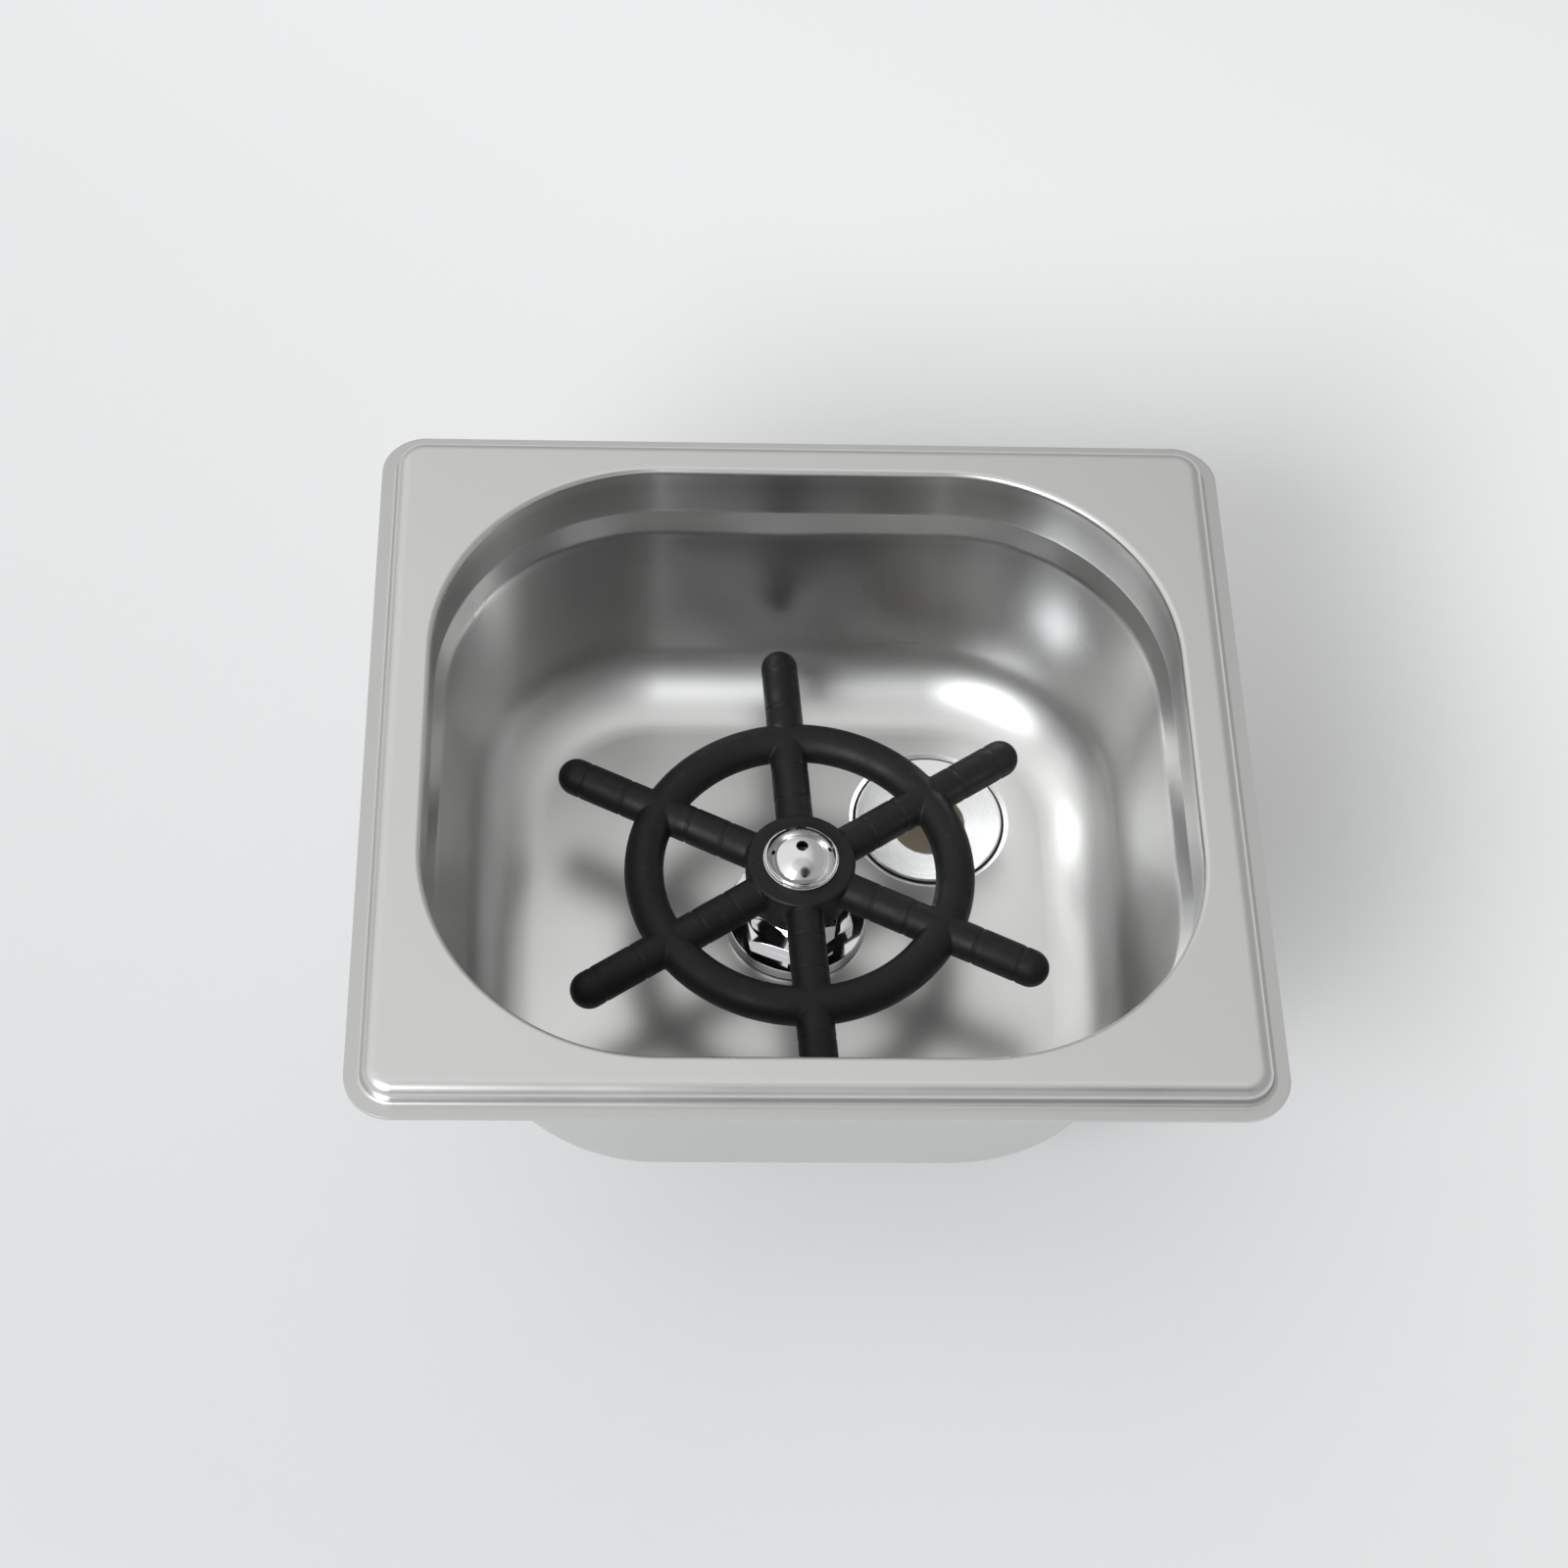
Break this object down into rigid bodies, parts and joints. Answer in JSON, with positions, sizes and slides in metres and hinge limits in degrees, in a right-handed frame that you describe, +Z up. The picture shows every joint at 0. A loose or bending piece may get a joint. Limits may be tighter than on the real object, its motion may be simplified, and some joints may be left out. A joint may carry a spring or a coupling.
{
  "type": "bar sink",
  "caption": "Drop-in stainless bar sink: a small pan with a press-down glass rinser under a spoked wheel, and a drain in its floor.",
  "frame": {"origin": "middle of the rim, on the underside of the lip, which is the worktop surface", "axes": "+X along the long side of the rim, +Y to the back, towards the drain, +Z up out of the worktop"},
  "size_m": [0.176, 0.162, 0.1006],
  "materials": {
    "stainless": "satin pressed stainless steel",
    "chrome": "polished chrome plate",
    "black_plastic": "matte moulded, fine grain",
    "black_rubber": "matte",
    "brass": "turned",
    "white_plastic": "machined",
    "spring_steel": "drawn wire"
  },
  "bodies": {
    "sink": {"basin": "stainless", "base_gasket": "black_rubber", "valve_body": "chrome", "bonnet_nut": "chrome", "bonnet_seal": "black_rubber", "stem_seals": "black_rubber", "spring_retainer": "brass", "inlet_screen": "stainless", "shank_gasket": "black_rubber", "shank_washer": "stainless", "shank_locknut": "chrome", "return_spring": "spring_steel", "drain_body": "stainless", "drain_gasket": "black_rubber", "drain_under_gasket": "black_rubber", "drain_slip_washer": "white_plastic", "drain_nut": "black_plastic"},
    "press_slide": {"spring_seat": "white_plastic"},
    "wheel": {"valve_stem": "brass", "poppet_seal": "black_rubber", "wheel_washer": "stainless", "press_wheel": "black_plastic", "nozzle_collar": "chrome", "nozzle_seal": "black_rubber", "nozzle_dome": "chrome"}
  },
  "joints": [
    {"name": "wheel_press", "type": "slide", "parent": "sink", "child": "press_slide", "axis": [0, 0, -1], "range_m": [0, 0.0034], "stiffness_N_per_m": 3000, "springref_m": -0.003, "deforming": ["return_spring"]},
    {"name": "wheel_turn", "type": "hinge", "parent": "press_slide", "child": "wheel", "pos_m": [0, 0, -0.0411], "axis": [0, 0, 1], "continuous": true}
  ]
}
